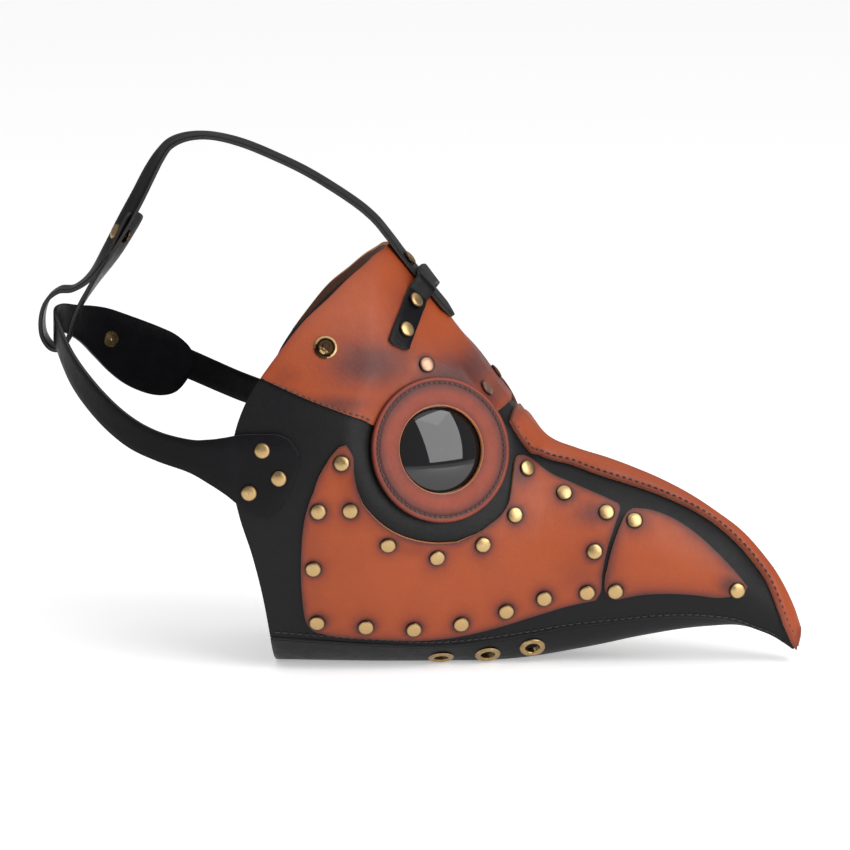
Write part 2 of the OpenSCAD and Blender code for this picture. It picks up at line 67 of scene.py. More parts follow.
# x, bottom seam z, ridge z, widest half width, underside z
STATIONS = np.array([
    [-100, 18.5, 259, 77, 0], [-76, 18.5, 252, 76, 0], [-50, 17, 241, 74, 0], [-32, 15.7, 232.8, 71.3, 0],
    [-20, 15, 225, 69, 0], [5, 13, 195.4, 60, 0], [21, 13, 175, 53.5, 0], [37, 14.5, 152.3, 48, 0],
    [52, 16.5, 134.1, 43, 1], [67, 19, 118.7, 39.5, 3], [83, 22, 112.1, 36.5, 6], [100, 24, 107.1, 33.5, 9.5],
    [115, 25.5, 101.8, 30.5, 13], [130, 27, 95.6, 27.5, 16], [145, 27.5, 87.9, 24, 18.5],
    [160, 26.5, 78.3, 20, 20], [172, 24.5, 69.2, 16.5, 20.5], [182, 20.5, 58.5, 13, 18.5],
    [193, 15.5, 43.7, 9, 13.5], [201, 9.5, 29, 6, 8], [206, 5, 14, 3.5, 4], [208.3, 2.6, 6, 2, 2]], float)


def soften(t):
    t = np.clip(t, 0, 1)
    return t * t * (3 - 2 * t)


def curve(points, t):
    """Smooth curve through points, read at the shares t."""
    p = np.asarray(points, float)
    last = len(p) - 1
    t = np.atleast_1d(np.asarray(t, float)) * last
    i = np.clip(np.floor(t).astype(int), 0, last - 1)
    f = (t - i)[:, None]
    a, b, c, d = p[np.maximum(i - 1, 0)], p[i], p[i + 1], p[np.minimum(i + 2, last)]
    return 0.5 * (2 * b + (c - a) * f + (2 * a - 5 * b + 4 * c - d) * f**2 + (3 * b - a - 3 * c + d) * f**3)


def section(x, k):
    """Column k of the stations at x."""
    xs, v = STATIONS[:, 0], STATIONS[:, k]
    slopes = np.empty_like(v)
    slopes[1:-1] = (v[2:] - v[:-2]) / (xs[2:] - xs[:-2])
    slopes[0] = (v[1] - v[0]) / (xs[1] - xs[0])
    slopes[-1] = (v[-1] - v[-2]) / (xs[-1] - xs[-2])
    x = np.asarray(x, float)
    i = np.clip(np.searchsorted(xs, x, side="right") - 1, 0, len(xs) - 2)
    h = xs[i + 1] - xs[i]
    t = (x - xs[i]) / h
    return ((2 * t**3 - 3 * t**2 + 1) * v[i] + (t**3 - 2 * t**2 + t) * slopes[i] * h
            + (3 * t**2 - 2 * t**3) * v[i + 1] + (t**3 - t**2) * slopes[i + 1] * h)


def waist_z(x):
    return section(x, 1) + WAIST * (section(x, 2) - section(x, 1))


def angle_of(x, z):
    x, z = np.asarray(x, float), np.asarray(z, float)
    w = waist_z(x)
    up = np.degrees(np.arcsin(np.clip((z - w) / (section(x, 2) - w), -1, 1)))
    return np.where(z >= w, up, LOW_ANGLE * (w - z) / (w - section(x, 1)))


def skin(x, a):
    """A skin point. Angles up to 90 are the right side, and angles over 90 are the left."""
    x, a = np.asarray(x, float), np.asarray(a, float)
    side = np.where(a <= 90, -1, 1)
    a = np.where(a <= 90, a, 180 - a)
    low, high, wide, w = section(x, 1), section(x, 2), section(x, 3), waist_z(x)
    z = np.where(a >= 0, w + (high - w) * np.sin(np.radians(a)), w + (low - w) * a / LOW_ANGLE)
    upper = wide * np.maximum(np.cos(np.radians(a)), 0) ** (2 * SHARP)
    lower = wide * (1 - (1 - TUCK) * (a / LOW_ANGLE) ** 2)
    dx, dz = x - EYE[0], z - EYE[2]
    r = np.hypot(dx / math.cos(EYE_TURN), dz / math.cos(EYE_TILT))
    share = soften((60 - r) / 20) * soften((88 - a) / 22)
    flat = EYE[1] - math.tan(EYE_TURN) * dx - math.tan(EYE_TILT) / math.cos(EYE_TURN) * dz
    y = np.where(a >= 0, upper, lower) * (1 - share) + flat * share
    return np.stack([x, side * y, z], -1)


def skin_normal(x, a):
    n = np.cross(skin(x + 0.3, a) - skin(x - 0.3, a), skin(x, a + 0.5) - skin(x, a - 0.5))
    return n / np.linalg.norm(n, axis=-1, keepdims=True)


def right(points):
    """[x, z] points, seen from the side, as [x, angle] points."""
    p = np.asarray(points, float)
    return np.stack([p[:, 0], angle_of(p[:, 0], p[:, 1])], 1)


def over_ridge(half):
    """A right-side curve, led over the ridge from its mirrored copy on the left."""
    other = half[::-1] * [1, -1] + [0, 180]
    return np.concatenate([other, half[1:]])


def lifted(p, d):
    """Points d above the skin at [x, angle] points, kept on their own side of the mirror plane."""
    q = skin(p[..., 0], p[..., 1]) + skin_normal(p[..., 0], p[..., 1]) * np.asarray(d, float)[..., None]
    q[..., 1] = np.where(p[..., 1] < 89.9, np.minimum(q[..., 1], -0.15), q[..., 1])
    q[..., 1] = np.where(p[..., 1] > 90.1, np.maximum(q[..., 1], 0.15), q[..., 1])
    return q


def patch_grid(low, high, along, across, start=None, finish=None):
    """[x, angle] grid between two curves, with its two end edges bent to start and finish."""
    u, v = np.linspace(0, 1, along), np.linspace(0, 1, across)
    grid = curve(low, u)[:, None] * (1 - v)[:, None] + curve(high, u)[:, None] * v[:, None]
    if start is not None:
        grid += (curve(start, v) - grid[0])[None] * ((1 - u) ** 4)[:, None, None]
    if finish is not None:
        grid += (curve(finish, v) - grid[-1])[None] * (u**4)[:, None, None]
    return grid


def chin(x, v):
    low = section(x, 4)
    rise = section(x, 1) - 0.4 - low
    return np.stack([x, v * section(x, 3) * TUCK, low + rise * (np.maximum(0, abs(v) - 0.4) / 0.6) ** 2], -1)


def chin_normal(x, v):
    n = np.cross(chin(x, v + 0.01) - chin(x, v - 0.01), chin(x + 0.3, v) - chin(x - 0.3, v))
    return n / np.linalg.norm(n, axis=-1, keepdims=True)


# ---- Materials --------------------------------------------------------------------------------


def new_material(name):
    m = bpy.data.materials.new(name)
    m.use_nodes = True
    tree = m.node_tree
    tree.nodes.clear()
    out = tree.nodes.new("ShaderNodeOutputMaterial")
    shader = tree.nodes.new("ShaderNodeBsdfPrincipled")
    tree.links.new(shader.outputs[0], out.inputs[0])
    return m, tree, shader


def node(tree, kind, inputs=None, **settings):
    n = tree.nodes.new(kind)
    for k, v in settings.items():
        setattr(n, k, v)
    for k, v in (inputs or {}).items():
        if isinstance(v, bpy.types.NodeSocket):
            tree.links.new(v, n.inputs[k])
        else:
            n.inputs[k].default_value = v
    return n


def noise(tree, coords, scale, detail=3.0, rough=0.55):
    inputs = {"Vector": coords, "Scale": scale, "Detail": detail, "Roughness": rough}
    return node(tree, "ShaderNodeTexNoise", inputs)


def ramp(tree, fac, stops):
    n = node(tree, "ShaderNodeValToRGB", {"Fac": fac})
    for _ in range(len(stops) - 2):
        n.color_ramp.elements.new(0.5)
    for e, (at, value) in zip(n.color_ramp.elements, stops):
        e.position = at
        e.color = (*value, 1) if isinstance(value, tuple) else (value, value, value, 1)
    return n.outputs["Color"]


def math_node(tree, operation, a, b, clamp=False):
    n = node(tree, "ShaderNodeMath", operation=operation, use_clamp=clamp)
    for i, v in enumerate((a, b)):
        if isinstance(v, bpy.types.NodeSocket):
            tree.links.new(v, n.inputs[i])
        else:
            n.inputs[i].default_value = v
    return n.outputs[0]


def leather(name, stops, rough=(0.36, 0.52), grain=0.05, creases=0.1, mottle=0.35, sheen=0.0, coat=0.04,
            gloss=0.28):
    """Leather whose colour runs along stops with the mesh's darkness attribute, from clean to dark. The
    attribute holds burnishing and painted shade.
    """
    m, tree, shader = new_material(name)
    coords = node(tree, "ShaderNodeTexCoord").outputs["Object"]
    burnish_and_shade = node(tree, "ShaderNodeAttribute", attribute_name="burnish_and_shade").outputs["Fac"]
    cloud = noise(tree, coords, 38, 4, 0.6).outputs["Fac"]
    fine = noise(tree, coords, 420, 3, 0.6).outputs["Fac"]
    shift = math_node(tree, "MULTIPLY", math_node(tree, "SUBTRACT", cloud, 0.5), mottle)
    speck = math_node(tree, "MULTIPLY", math_node(tree, "SUBTRACT", fine, 0.5), mottle * 0.35)
    fac = math_node(tree, "ADD", math_node(tree, "ADD", burnish_and_shade, shift), speck, clamp=True)
    tree.links.new(ramp(tree, fac, stops), shader.inputs["Base Color"])

    cells = node(tree, "ShaderNodeTexVoronoi", {"Vector": coords, "Scale": 950.0}, feature="DISTANCE_TO_EDGE")
    pores = noise(tree, coords, 2400, 2, 0.5).outputs["Fac"]
    wrinkle = noise(tree, coords, 150, 5, 0.65).outputs["Fac"]
    pebble = math_node(tree, "MINIMUM", cells.outputs["Distance"], 0.25)
    height = math_node(tree, "ADD", pebble, math_node(tree, "MULTIPLY", pores, 0.18))
    small = node(tree, "ShaderNodeBump", {"Height": height, "Strength": 0.5, "Distance": grain * MM * 4})
    large = node(tree, "ShaderNodeBump", {"Height": wrinkle, "Strength": 0.5, "Distance": creases * MM * 4,
                                          "Normal": small.outputs["Normal"]})
    tree.links.new(large.outputs["Normal"], shader.inputs["Normal"])
    tree.links.new(ramp(tree, wrinkle, [(0.25, rough[0]), (0.75, rough[1])]), shader.inputs["Roughness"])
    shader.inputs["Coat Weight"].default_value = coat
    shader.inputs["Coat Roughness"].default_value = 0.32
    shader.inputs["Sheen Weight"].default_value = sheen
    shader.inputs["Specular IOR Level"].default_value = gloss
    return m


def cut_edge(name, light, dark):
    """The fibrous cut side of a piece of leather."""
    m, tree, shader = new_material(name)
    coords = node(tree, "ShaderNodeTexCoord").outputs["Object"]
    fibre = noise(tree, coords, 900, 5, 0.7).outputs["Fac"]
    blotch = noise(tree, coords, 90, 3, 0.6).outputs["Fac"]
    fac = math_node(tree, "ADD", math_node(tree, "MULTIPLY", fibre, 0.6),
                    math_node(tree, "MULTIPLY", blotch, 0.4))
    tree.links.new(ramp(tree, fac, [(0.3, dark), (0.7, light)]), shader.inputs["Base Color"])
    bump = node(tree, "ShaderNodeBump", {"Height": fibre, "Strength": 0.6, "Distance": 0.25 * MM})
    tree.links.new(bump.outputs["Normal"], shader.inputs["Normal"])
    shader.inputs["Roughness"].default_value = 0.72
    return m


def metal(name, bright, dark, rough=0.3, tarnish=0.5):
    """Cast and polished metal, bright on raised faces and dark in its hollows. A mesh attribute darkens it
    further: tarnish, and on rivet rims painted shade as well.
    """
    m, tree, shader = new_material(name)
    coords = node(tree, "ShaderNodeTexCoord").outputs["Object"]
    cloud = noise(tree, coords, 260, 4, 0.6).outputs["Fac"]
    scratch = noise(tree, coords, 1800, 3, 0.7).outputs["Fac"]
    wear_and_shade = node(tree, "ShaderNodeAttribute", attribute_name="burnish_and_shade").outputs["Fac"]
    uneven = math_node(tree, "MULTIPLY", math_node(tree, "SUBTRACT", cloud, 0.5), tarnish)
    fac = math_node(tree, "ADD", wear_and_shade, uneven, clamp=True)
    tree.links.new(ramp(tree, fac, [(0.15, bright), (0.85, dark)]), shader.inputs["Base Color"])
    tree.links.new(ramp(tree, cloud, [(0.3, rough - 0.08), (0.7, rough + 0.14)]), shader.inputs["Roughness"])
    bump = node(tree, "ShaderNodeBump", {"Height": scratch, "Strength": 0.25, "Distance": 0.06 * MM})
    tree.links.new(bump.outputs["Normal"], shader.inputs["Normal"])
    shader.inputs["Metallic"].default_value = 1.0
    return m


def thread(name, colour):
    m, tree, shader = new_material(name)
    coords = node(tree, "ShaderNodeTexCoord").outputs["Object"]
    twist = node(tree, "ShaderNodeTexWave", {"Vector": coords, "Scale": 900.0, "Distortion": 1.5})
    dim = tuple(c * 0.55 for c in colour)
    tree.links.new(ramp(tree, twist.outputs["Fac"], [(0.2, dim), (0.8, colour)]), shader.inputs["Base Color"])
    bump = node(tree, "ShaderNodeBump", {"Height": twist.outputs["Fac"], "Strength": 0.6,
                                         "Distance": 0.1 * MM})
    tree.links.new(bump.outputs["Normal"], shader.inputs["Normal"])
    shader.inputs["Roughness"].default_value = 0.62
    shader.inputs["Sheen Weight"].default_value = 0.3
    return m


TAN = leather("tan_leather", [(0.0, (0.335, 0.062, 0.015)), (0.3, (0.26, 0.046, 0.015)),
                              (0.62, (0.125, 0.028, 0.019)), (1.0, (0.036, 0.011, 0.010))], mottle=0.42)
BURNISHED = leather("burnished_leather", [(0.0, (0.255, 0.040, 0.014)), (0.4, (0.14, 0.026, 0.016)),
                                          (1.0, (0.045, 0.013, 0.012))], mottle=0.5)
BINDING = leather("binding_leather", [(0.0, (0.33, 0.060, 0.016)), (0.4, (0.20, 0.036, 0.015)),
                                      (1.0, (0.07, 0.017, 0.013))], mottle=0.5)
BLACK = leather("black_body_leather", [(0.0, (0.0055, 0.0055, 0.0065)), (1.0, (0.004, 0.004, 0.0045))],
                rough=(0.36, 0.5), grain=0.06, coat=0.0, gloss=0.2)
STRAP = leather("black_strap_leather", [(0.0, (0.004, 0.004, 0.005)), (1.0, (0.004, 0.004, 0.0045))],
                rough=(0.28, 0.42), grain=0.035, creases=0.14, coat=0.0, gloss=0.14)
SUEDE = leather("black_suede", [(0.0, (0.03, 0.026, 0.024)), (1.0, (0.012, 0.011, 0.011))], rough=(0.8, 0.95),
                grain=0.03, sheen=0.4, coat=0.0, gloss=0.2)
FLESH = leather("brown_suede", [(0.0, (0.17, 0.070, 0.035)), (1.0, (0.08, 0.03, 0.018))], rough=(0.8, 0.95),
                grain=0.03, sheen=0.4, coat=0.0, gloss=0.2)
TAN_EDGE = cut_edge("tan_cut_edge", (0.66, 0.26, 0.10), (0.34, 0.10, 0.035))
DARK_EDGE = cut_edge("burnished_cut_edge", (0.34, 0.10, 0.045), (0.10, 0.028, 0.018))
BLACK_EDGE = cut_edge("black_cut_edge", (0.035, 0.030, 0.027), (0.008, 0.0075, 0.007))
BRASS = metal("antique_brass", (0.50, 0.34, 0.16), (0.05, 0.03, 0.016), tarnish=0.7)
COPPER = metal("aged_copper", (0.44, 0.25, 0.17), (0.05, 0.024, 0.017), rough=0.36)
BLACK_THREAD = thread("black_thread", (0.012, 0.012, 0.013))
BROWN_THREAD = thread("brown_thread", (0.10, 0.028, 0.018))


def lens_material():
    m, tree, shader = new_material("smoked_lens")
    coords = node(tree, "ShaderNodeTexCoord").outputs["Object"]
    dust = noise(tree, coords, 700, 4, 0.7).outputs["Fac"]
    tree.links.new(ramp(tree, dust, [(0.5, 0.03), (0.8, 0.075)]), shader.inputs["Roughness"])
    shader.inputs["Base Color"].default_value = (0.004, 0.004, 0.005, 1)
    shader.inputs["IOR"].default_value = 1.55
    shader.inputs["Specular IOR Level"].default_value = 0.6
    return m


LENS = lens_material()

# ---- Building meshes --------------------------------------------------------------------------


# Darkness of 0 to 1 at each point: burnishing and tarnish, and painted shade on some parts.
def set_burnish_and_shade(mesh, values):
    attribute = mesh.attributes.new("burnish_and_shade", "FLOAT", "POINT")
    attribute.data.foreach_set("value", np.asarray(values, np.float32))


def soft_shading(obj, bevel=0.0, segments=2, angle=40):
    obj.data.shade_smooth()
    if bevel:
        b = obj.modifiers.new("edges", "BEVEL")
        b.width = bevel * MM
        b.segments = segments
        b.limit_method = "ANGLE"
        b.angle_limit = math.radians(angle)
        b.harden_normals = True
    return obj


def mesh_object(name, points, faces, materials, face_material=None, burnish_and_shade=None):
    """A mesh from points in millimetres."""
    mesh = bpy.data.meshes.new(name)
    mesh.from_pydata((np.asarray(points) * MM).tolist(), [], faces)
    for m in materials:
        mesh.materials.append(m)
    if face_material is not None:
        mesh.polygons.foreach_set("material_index", face_material)
    if burnish_and_shade is not None:
        set_burnish_and_shade(mesh, burnish_and_shade)
    mesh.update()
    obj = bpy.data.objects.new(name, mesh)
    bpy.context.scene.collection.objects.link(obj)
    return obj


def shell(name, outer, inner, materials, burnish_and_shade):
    """A closed leather sheet between two grids. materials: face, cut edge and flesh side."""
    rows, cols = outer.shape[:2]
    half = rows * cols
    index = np.arange(half).reshape(rows, cols)
    a, b, c, d = index[:-1, :-1], index[1:, :-1], index[1:, 1:], index[:-1, 1:]
    top = np.stack([a, b, c, d], -1).reshape(-1, 4)
    rim = np.concatenate([index[:, 0], index[-1, 1:], index[-2::-1, -1], index[0, -2:0:-1]])
    after = np.roll(rim, -1)
    wall = np.stack([after, rim, rim + half, after + half], -1)
    faces = np.concatenate([top, top[:, ::-1] + half, wall])
    kind = np.concatenate([np.zeros(len(top), int), np.full(len(top), 2), np.ones(len(wall), int)])
    points = np.concatenate([outer.reshape(-1, 3), inner.reshape(-1, 3)])
    both = np.concatenate([burnish_and_shade.reshape(-1), np.full(half, 0.5)])
    return mesh_object(name, points, faces.tolist(), materials, kind, both)


def rim_points(grid):
    return np.concatenate([grid[:, 0], grid[:, -1], grid[0], grid[-1]])


def nearest(points, targets):
    """Distance from each point to the nearest target."""
    tree = KDTree(len(targets))
    for i, t in enumerate(targets):
        tree.insert(Vector(t), i)
    tree.balance()
    flat = points.reshape(-1, 3)
    return np.array([tree.find(Vector(p))[2] for p in flat]).reshape(points.shape[:-1])


def centres(name):
    """Centre of each separate solid of a CAD node, in millimetres."""
    bm = bmesh.new()
    bm.from_mesh(nodes[name].data)
    bmesh.ops.remove_doubles(bm, verts=bm.verts, dist=1e-6)
    left, found = set(bm.verts), []
    while left:
        stack, group = [left.pop()], []
        while stack:
            v = stack.pop()
            group.append(v.co)
            for e in v.link_edges:
                w = e.other_vert(v)
                if w in left:
                    left.remove(w)
                    stack.append(w)
        co = np.array(group) / MM
        found.append((co.min(0) + co.max(0)) / 2)
    bm.free()
    return np.array(found)


def painted_shade_blots(points, spots):
    """Painted shade: soft dark blots, each at [x, z] with its half length, half height and strength."""
    dark = np.zeros(points.shape[:-1])
    for x, z, along, up, strength in spots:
        far = ((points[..., 0] - x) / along) ** 2 + ((points[..., 2] - z) / up) ** 2
        dark = np.maximum(dark, strength * np.exp(-far))
    return dark


def panel(name, grid, layer, materials, body, rivets=(), edge_dark=0.55, edge_reach=4.0, spots=(),
          relief=None, bevel=0.35):
    """A leather panel of the skin that stands for the CAD node of the same name.

    relief, where given, lifts the outer face by a function of the distance from the panel's edge and x.
    """
    outer, inner = lifted(grid, layer[1]), lifted(grid, layer[0])
    inward = nearest(outer, rim_points(outer))
    dark = edge_dark * np.exp(-inward / edge_reach)
    if len(rivets):
        dark = np.maximum(dark, 0.8 * np.exp(-np.maximum(nearest(outer, rivets) - 4.5, 0) / 3.2))
    # spots are painted shadows, soft dark blots where shade falls on the panel.
    dark = np.maximum(dark, painted_shade_blots(outer, spots))
    if relief is not None:
        outer = lifted(grid, layer[1] + relief(inward, grid[..., 0]))
    obj = shell(name + "_leather", outer, inner, materials, dark)
    soft_shading(obj, bevel=bevel)
    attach(obj, body)
    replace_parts(obj, name)
    return obj


def mirrored(obj, node_name, body="mask"):
    """A copy of obj on the left, which stands for a CAD node of the left side."""
    copy = obj.copy()
    copy.data = obj.data.copy()
    copy.name = node_name + "_leather"
    bpy.context.scene.collection.objects.link(copy)
    copy.parent = None
    copy.data.transform(Matrix.Diagonal((1, -1, 1, 1)))
    copy.data.flip_normals()
    del copy["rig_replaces"]
    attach(copy, body)
    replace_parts(copy, node_name)
    return copy


def capsule_rows(name, spots, runs, ups, length, radius, material, body):
    """Stitches: one short thread at each spot, lying along its run and standing half out along its up."""
    ring, steps = 6, 5
    points, faces = [], []
    for c, t, n in zip(spots, runs, ups):
        t = t / np.linalg.norm(t)
        n = n - t * (n @ t)
        n = n / np.linalg.norm(n)
        b = np.cross(t, n)
        base = len(points)
        for i in range(steps):
            f = -1 + 2 * i / (steps - 1)
            r = radius * (0.35 if abs(f) == 1 else 1.0)
            mid = c + t * f * length / 2 + n * radius * (0.75 - 1.1 * f * f)
            for k in range(ring):
                a = 2 * math.pi * k / ring
                points.append(mid + (b * math.cos(a) + n * math.sin(a)) * r)
        for i in range(steps - 1):
            for k in range(ring):
                p, q = base + i * ring + k, base + i * ring + (k + 1) % ring
                faces.append([p, q, q + ring, p + ring])
        faces.append([base + k for k in range(ring)][::-1])
        faces.append([base + (steps - 1) * ring + k for k in range(ring)])
    obj = mesh_object(name, points, faces, [material])
    obj.data.shade_smooth()
    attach(obj, body)
    return obj


def even(path, spacing):
    """Evenly spaced points of a polyline, and the direction at each."""
    path = np.asarray(path, float)
    lengths = np.r_[0, np.cumsum(np.linalg.norm(np.diff(path, axis=0), axis=1))]
    count = max(2, int(round(lengths[-1] / spacing)))
    at = (np.arange(count) + 0.5) * lengths[-1] / count
    spots = np.stack([np.interp(at, lengths, path[:, k]) for k in range(path.shape[1])], 1)
    ahead = np.stack([np.interp(at + 0.4, lengths, path[:, k]) for k in range(path.shape[1])], 1)
    behind = np.stack([np.interp(at - 0.4, lengths, path[:, k]) for k in range(path.shape[1])], 1)
    return spots, ahead - behind


def stitch_skin(name, path, height, material, spacing=3.8, length=2.7, radius=0.38, both=True):
    """Stitches along a fine [x, angle] path, lying on leather of the given height above the skin."""
    path = np.asarray(path, float)
    line = skin(path[:, 0], path[:, 1]) + skin_normal(path[:, 0], path[:, 1]) * height
    spots, runs = even(line, spacing)
    tree = KDTree(len(line))
    for i, p in enumerate(line):
        tree.insert(Vector(p), i)
    tree.balance()
    pick = [tree.find(Vector(p))[1] for p in spots]
    ups = skin_normal(path[pick, 0], path[pick, 1])
    made = [capsule_rows(name, spots, runs, ups, length, radius, material, "mask")]
    if both:
        flip = np.array([1, -1, 1])
        made.append(capsule_rows(name + "_left", spots * flip, runs * flip, ups * flip, length, radius,
                                 material, "mask"))
    return made


# ---- Body panels ------------------------------------------------------------------------------

REAR_EDGE = right([[-76, 18.5], [-79, 42], [-84, 66], [-90, 86], [-94, 104], [-95, 120], [-92.5, 136],
                   [-87, 151], [-79.5, 163.5]])
TOP_CUT = [[-79.5, 163.5], [-70, 176.7], [-58, 191.8], [-44.5, 204.1], [-31, 216]]
RIDGE_X = [-19.6, -4, 10, 24, 38, 50, 60, 72, 90, 110, 130, 150, 168, 182, 193, 201, 205]
SEAM_X = [-76, -71, -66, -61, -56, -51, -46, -35, -22, -8, 7, 24, 40, 57, 76, 98, 120, 141, 160, 175,
          187, 196, 203.5]


def build_side_panels():
    under = np.array(TOP_CUT + [[-25.5, 220.7]]) + np.outer([0, 0.6, 1, 1, 1, 1], [3, -2.6])
    high = np.concatenate([right(under), [[max(x, -14), 88.5] for x in RIDGE_X]])
    low = np.array([[x, LOW_ANGLE] for x in SEAM_X], float)
    grid = patch_grid(low, high, 190, 46, start=REAR_EDGE)
    obj = panel("side_panel_right", grid, (-BODY_LEATHER, 0), [BLACK, BLACK_EDGE, SUEDE], "mask",
                edge_dark=0.2, bevel=0)
    hole = bpy.data.objects.new("eye_hole", bpy.data.meshes.new("eye_hole"))
    bm = bmesh.new()
    bmesh.ops.create_cone(bm, cap_ends=True, segments=96, radius1=24.2 * MM, radius2=24.2 * MM, depth=30 * MM)
    bm.to_mesh(hole.data)
    bm.free()
    hole.data.materials.append(BLACK_EDGE)
    bpy.context.scene.collection.objects.link(hole)
    hole.matrix_world = eye_matrix("right")
    cut = obj.modifiers.new("eye_hole", "BOOLEAN")
    cut.object = hole
    cut.solver = "EXACT"
    bpy.context.view_layer.update()
    done = bpy.data.meshes.new_from_object(obj.evaluated_get(bpy.context.evaluated_depsgraph_get()))
    obj.modifiers.clear()
    obj.data = done
    bpy.data.objects.remove(hole)
    soft_shading(obj, bevel=0.3)
    mirrored(obj, "side_panel_left")


def eye_matrix(side):
    """Stands at the eye's centre on the body, with +Z out of the window."""
    s = SIDES[side]
    out = Vector((math.sin(EYE_TURN) * math.cos(EYE_TILT), s * math.cos(EYE_TURN) * math.cos(EYE_TILT),
                  math.sin(EYE_TILT)))
    spot = Vector((EYE[0], s * EYE[1], EYE[2])) * MM
    return Matrix.Translation(spot) @ out.to_track_quat("Z", "Y").to_matrix().to_4x4()


def build_chin():
    u, v = np.meshgrid(np.linspace(-76, 202.5, 140), np.linspace(1, -1, 61), indexing="ij")
    outer = chin(u, v)
    inner = outer - chin_normal(u, v) * BODY_LEATHER
    inner[..., 2] = np.minimum(inner[..., 2], section(u, 1) - 0.4)
    outer[..., 2] = np.maximum(outer[..., 2], 0)
    obj = shell("chin_panel_leather", outer, inner, [BLACK, BLACK_EDGE, SUEDE], np.full(u.shape, 0.1))
    bm = bmesh.new()
    bm.from_mesh(obj.data)
    for spot in centres("chin_eyelets"):
        near = [f for f in bm.faces if (f.calc_center_median() / MM - Vector(spot)).length < 4.4]
        bmesh.ops.delete(bm, geom=near, context="FACES")
    bm.to_mesh(obj.data)
    bm.free()
    soft_shading(obj)
    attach(obj, "mask")
    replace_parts(obj, "chin_panel")


build_side_panels()
build_chin()

# ---- Tan panels -------------------------------------------------------------------------------

CHEEK_OUTER = [[-37, 126.5], [-43, 119], [-50, 104], [-55.5, 86], [-57.5, 65], [-57.5, 43], [-55, 27],
               [-45, 21.5], [-20, 19], [8, 17.5], [30, 20], [50, 25], [72, 32], [98, 38.5]]
CHEEK_INNER = [[-33.5, 127.5], [-30, 121], [-29, 112], [-26, 101], [-20, 91], [-11, 82.5], [0, 76.5],
               [14, 73], [28, 74], [40, 79.5], [51, 91], [56, 115.5], [78.8, 101], [108.8, 88.6]]
CHEEK_END = [[98, 38.5], [101, 44], [101.8, 54], [104.2, 66], [107.5, 77], [110, 85.5], [108.8, 88.6]]
BEAK_LOW = [[108.5, 38.5], [122, 41], [136, 41.5], [150, 40.5], [164, 38.5], [176.5, 38.5]]
BEAK_HIGH = [[117, 86], [127, 84.5], [140, 79], [153, 70], [166, 58], [178.2, 43.5]]
BEAK_START = [[108.5, 38.5], [103.5, 43], [103.4, 51], [106, 63], [110, 76], [113.3, 83.5], [117, 86]]
BINDING_EDGE = [[49.8, 133], [60, 116.5], [66, 113], [82, 108], [98, 102.5], [117, 96.5], [132, 91],
                [145, 85], [159, 76.5], [171, 66.5], [180, 56.5], [188, 45], [194, 31], [198.3, 19.5],
                [202, 11.5], [204.8, 7.5]]
TANS = [TAN, TAN_EDGE, FLESH]


def build_cheeks():
    grid = patch_grid(right(CHEEK_OUTER), right(CHEEK_INNER), 170, 34, finish=right(CHEEK_END))
    # Painted shadows: soft dark blots where shade falls, below the eye ring, at the panel's corners and along
    # its rear edge.
    painted_shadows = [(-36, 122, 7, 12, 0.6), (57, 108, 9, 12, 0.75), (100, 85, 15, 8, 0.6), (92, 50, 14, 14, 0.3),
            (-52, 62, 8, 30, 0.3), (10, 70, 26, 6, 0.35)]
    obj = panel("cheek_panel_right", grid, TAN_LAYER, TANS, "mask",
                centres("cheek_rivets_right"), edge_dark=0.75, edge_reach=3.6, spots=painted_shadows)
    mirrored(obj, "cheek_panel_left")


def build_beak_panels():
    grid = patch_grid(right(BEAK_LOW), right(BEAK_HIGH), 80, 34, start=right(BEAK_START))
    # Painted shadows: soft dark blots at the panel's upper rear corner and near its front end.
    painted_shadows = [(118, 81, 12, 9, 0.7), (172, 44, 10, 9, 0.8)]
    obj = panel("beak_panel_right", grid, TAN_LAYER, TANS, "mask",
                centres("beak_rivets_right"), edge_dark=0.8, edge_reach=4.5, spots=painted_shadows)
    mirrored(obj, "beak_panel_left")


def forehead_curves():
    rear = np.concatenate([[[-19.6, 90]], right([[-20.8, 223.4], [-25.5, 220.7]] + TOP_CUT[::-1])])
    under_ring = 38.1  # the panel ends just inside the eye ring's outer edge
    arc = []
    for a in np.radians([42, 70, 98, 126, 154]):
        across, up = under_ring * math.cos(a), under_ring * math.sin(a)
        arc.append([EYE[0] + across * math.cos(EYE_TURN) - up * math.sin(EYE_TURN) * math.sin(EYE_TILT),
                    EYE[2] + up * math.cos(EYE_TILT)])
    seam = [[-27, 141.2], [-58, 153.5], [-77, 162]]
    front = np.concatenate([[[47, 90]], right([[43.5, 139.5]] + arc + seam)])
    return rear, front


def build_forehead():
    rear, front = forehead_curves()
    grid = patch_grid(over_ridge(rear), over_ridge(front), 200, 46)
    rivets = np.concatenate([centres("forehead_rivets"), centres("keeper_rivets")])
    # Painted shadows: soft dark blots where shade falls on the forehead's middle and brow, along its lower
    # seam, beside the eye ring, under the strap keeper and at its rear.
    painted_shadows = [(-22, 170, 26, 15, 0.75), (21, 160, 22, 13, 0.85), (-38, 149, 22, 7, 0.6), (36, 146, 12, 9, 0.7),
            (-6, 196, 10, 16, 0.35), (-66, 165, 10, 8, 0.3)]
    panel("forehead_panel", grid, TAN_LAYER, TANS, "mask", rivets, edge_dark=0.4,
          edge_reach=3, spots=painted_shadows)


